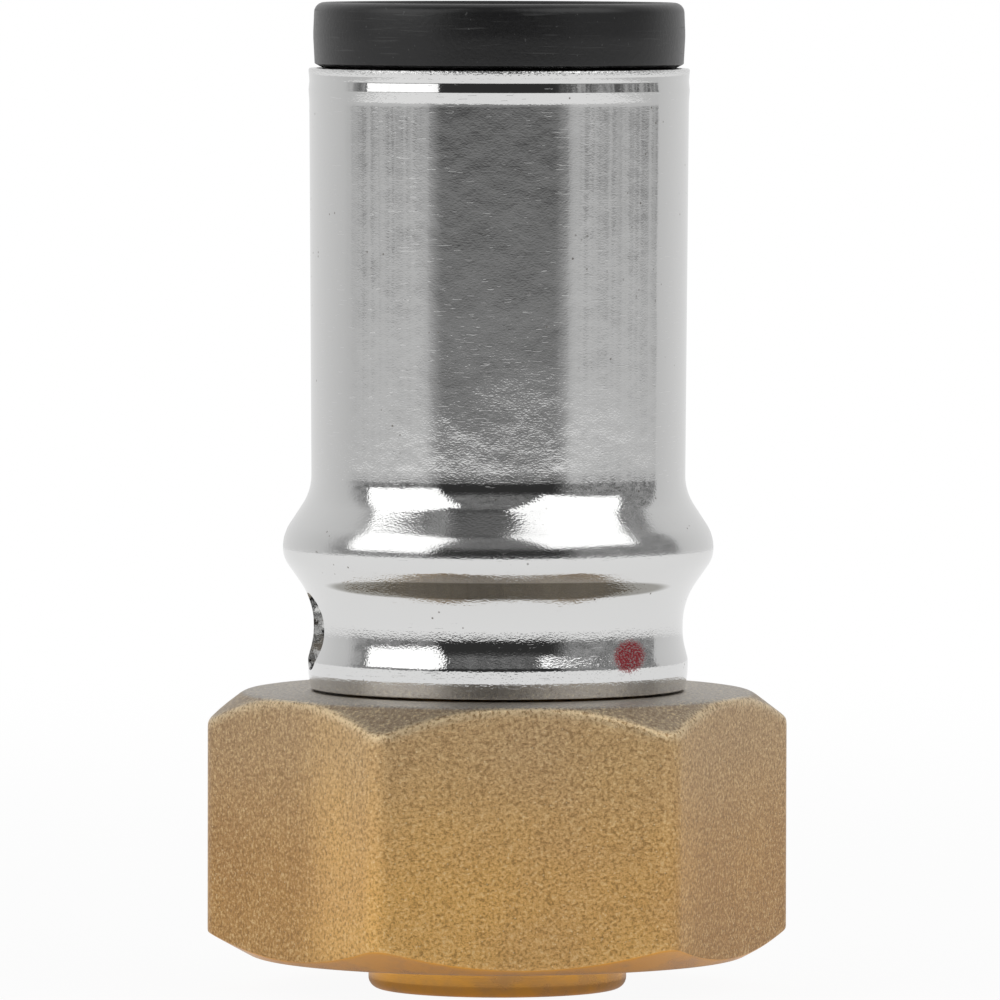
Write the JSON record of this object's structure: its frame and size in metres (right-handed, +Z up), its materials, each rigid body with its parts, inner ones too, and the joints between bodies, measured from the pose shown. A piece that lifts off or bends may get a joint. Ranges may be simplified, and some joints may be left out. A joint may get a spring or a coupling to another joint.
{
  "type": "pipe coupling",
  "caption": "Straight press coupling for multilayer pipe, with a stainless press sleeve, a black guide ring and a hexagon union nut that swivels on the brass body.",
  "frame": {"origin": "centre of the nose's end face, which the coupling stands on", "axes": "+Z up the bore, from the nose and the union nut to the pipe socket; the sleeve's inspection windows lie near +X and -X"},
  "size_m": [0.0282, 0.0262, 0.0481],
  "materials": {
    "turned_brass": "turned bright",
    "blasted_brass": "forged and sand-blasted",
    "stainless_sheet": "polished, slightly grained",
    "black_plastic": "matte, moulded",
    "brown_plastic": "matte, moulded",
    "black_rubber": "smooth, lightly greased"
  },
  "bodies": {
    "fitting": {"brass_body": "turned_brass", "nose_o_ring": "black_rubber", "upper_tail_o_ring": "black_rubber", "lower_tail_o_ring": "black_rubber", "press_sleeve": "stainless_sheet", "guide_ring": "black_plastic", "stop_ring": "brown_plastic"},
    "nut": {"swivel_nut": "blasted_brass"}
  },
  "joints": [
    {"name": "nut_swivel", "type": "hinge", "parent": "fitting", "child": "nut", "pos_m": [0, 0, 0.008], "axis": [0, 0, 1], "continuous": true}
  ]
}
